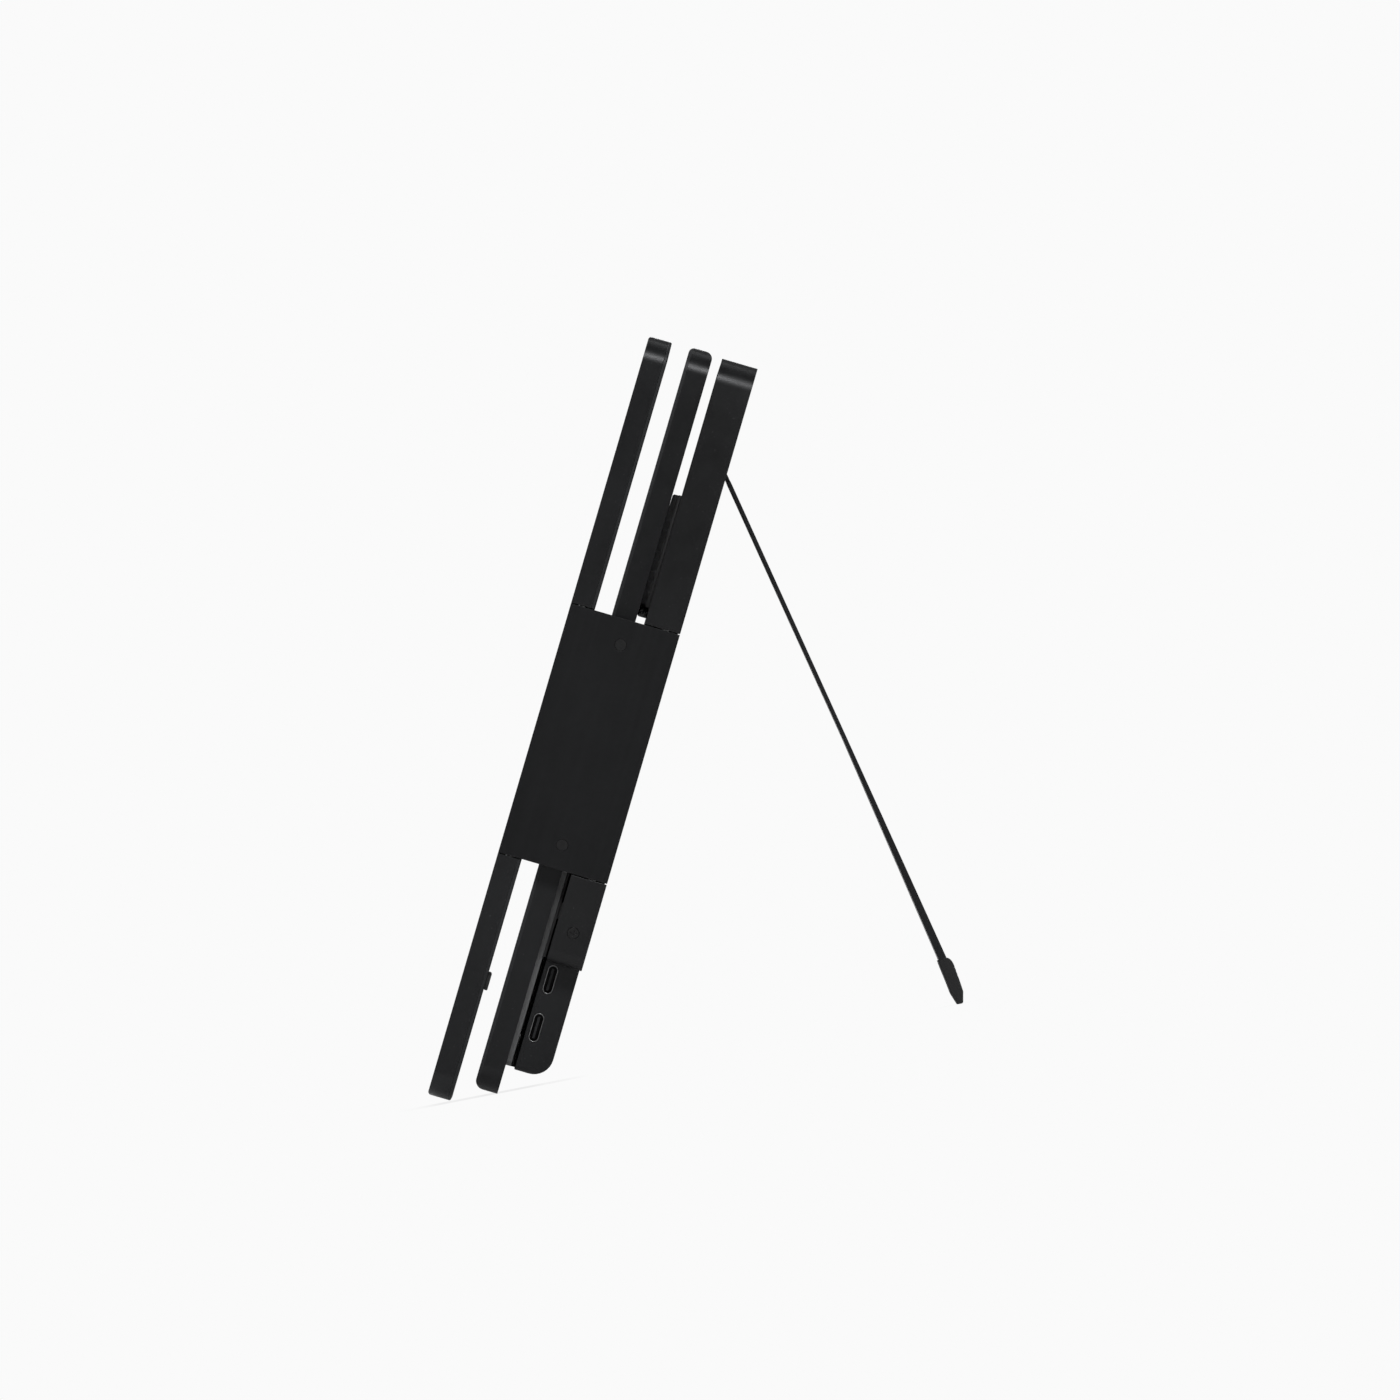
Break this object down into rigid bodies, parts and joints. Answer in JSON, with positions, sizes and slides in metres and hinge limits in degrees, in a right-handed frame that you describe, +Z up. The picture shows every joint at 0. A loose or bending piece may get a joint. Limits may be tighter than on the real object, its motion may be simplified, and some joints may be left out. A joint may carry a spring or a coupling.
{
  "type": "laptop stand",
  "caption": "Folding laptop stand with a swing-out screen on a hinge arm, a sliding screen, sockets and a rear kickstand.",
  "frame": {"origin": "centre of the bounding box on the surface that the stand rests on", "axes": "+X along the screens towards the hinge arm, +Y from the outer screen back to the kickstand, +Z up"},
  "size_m": [0.3704, 0.165, 0.2144],
  "materials": {
    "shell_black": "fine matt moulded texture",
    "arm_metal": "black anodised, bead blasted",
    "leg_metal": "black anodised",
    "bezel_black": "matt black",
    "screen_glass": "anti-glare, dark when off",
    "panel": "dark",
    "backlight_tray": "brushed sheet",
    "steel": "machined",
    "screw_steel": "dark zinc",
    "rubber": "matt",
    "rest_pad": "silicone",
    "magnet": "nickel plated",
    "circuit_board": "solder mask",
    "socket_plastic": "black",
    "slider_plastic": "natural acetal"
  },
  "bodies": {
    "frame": {"front_cover": "shell_black", "rear_housing": "shell_black", "upper_post": "shell_black", "lower_post": "shell_black", "post_hinge_blocks": "steel", "slide_rails": "steel", "lid_rest_pad": "rest_pad", "lid_magnets": "magnet", "main_board": "circuit_board", "board_screws": "screw_steel", "usb_c_shells": "steel", "usb_c_tongues": "socket_plastic", "rear_screws": "screw_steel", "post_side_screw": "screw_steel", "post_inner_screws": "screw_steel", "kickstand_bracket": "leg_metal", "kickstand_pin": "steel", "bracket_screws": "screw_steel"},
    "arm": {"arm_core": "arm_metal", "arm_cover": "arm_metal", "arm_screws": "screw_steel", "post_pin": "steel", "screen_pin": "steel", "disc_springs": "steel", "pin_nuts": "steel", "pin_clips": "steel"},
    "outer_screen": {"outer_back_cover": "shell_black", "outer_bezel": "bezel_black", "outer_glass": "screen_glass", "outer_panel": "panel", "outer_backlight": "backlight_tray", "outer_board": "circuit_board", "outer_hinge_blocks": "steel", "outer_block_screws": "screw_steel", "outer_bumpers": "rubber", "outer_key_board": "circuit_board"},
    "outer_power": {"outer_power_key": "bezel_black"},
    "outer_menu": {"outer_menu_key": "bezel_black"},
    "inner_screen": {"inner_back_cover": "shell_black", "inner_bezel": "bezel_black", "inner_glass": "screen_glass", "inner_panel": "panel", "inner_backlight": "backlight_tray", "inner_board": "circuit_board", "inner_bumpers": "rubber", "inner_key_board": "circuit_board", "carriage_plate": "backlight_tray", "carriage_runners": "slider_plastic", "carriage_screws": "screw_steel"},
    "inner_power": {"inner_power_key": "bezel_black"},
    "inner_menu": {"inner_menu_key": "bezel_black"},
    "kickstand": {"kickstand_leg": "leg_metal", "kickstand_foot": "rubber"}
  },
  "joints": [
    {"name": "arm_hinge", "type": "hinge", "parent": "frame", "child": "arm", "pos_m": [0.1797, -0.00518, 0.09275], "axis": [0, 0.4571, 0.8894], "range_deg": [0, 90]},
    {"name": "outer_screen_hinge", "type": "hinge", "parent": "arm", "child": "outer_screen", "pos_m": [0.18105, -0.02732, 0.10413], "axis": [0, 0.4571, 0.8894], "range_deg": [0, 90]},
    {"name": "inner_screen_slide", "type": "slide", "parent": "frame", "child": "inner_screen", "axis": [-1, 0, 0], "range_m": [0, 0.29]},
    {"name": "kickstand_hinge", "type": "hinge", "parent": "frame", "child": "kickstand", "pos_m": [0, 0.04045, 0.17387], "axis": [1, 0, 0], "range_deg": [-40.7, 0]},
    {"name": "outer_power_press", "type": "slide", "parent": "outer_screen", "child": "outer_power", "axis": [1, 0, 0], "range_m": [0, 0.0005], "stiffness_N_per_m": 600, "springref_m": -0.001},
    {"name": "outer_menu_press", "type": "slide", "parent": "outer_screen", "child": "outer_menu", "axis": [1, 0, 0], "range_m": [0, 0.0005], "stiffness_N_per_m": 600, "springref_m": -0.001},
    {"name": "inner_power_press", "type": "slide", "parent": "inner_screen", "child": "inner_power", "axis": [1, 0, 0], "range_m": [0, 0.0005], "stiffness_N_per_m": 600, "springref_m": -0.001},
    {"name": "inner_menu_press", "type": "slide", "parent": "inner_screen", "child": "inner_menu", "axis": [1, 0, 0], "range_m": [0, 0.0005], "stiffness_N_per_m": 600, "springref_m": -0.001}
  ]
}
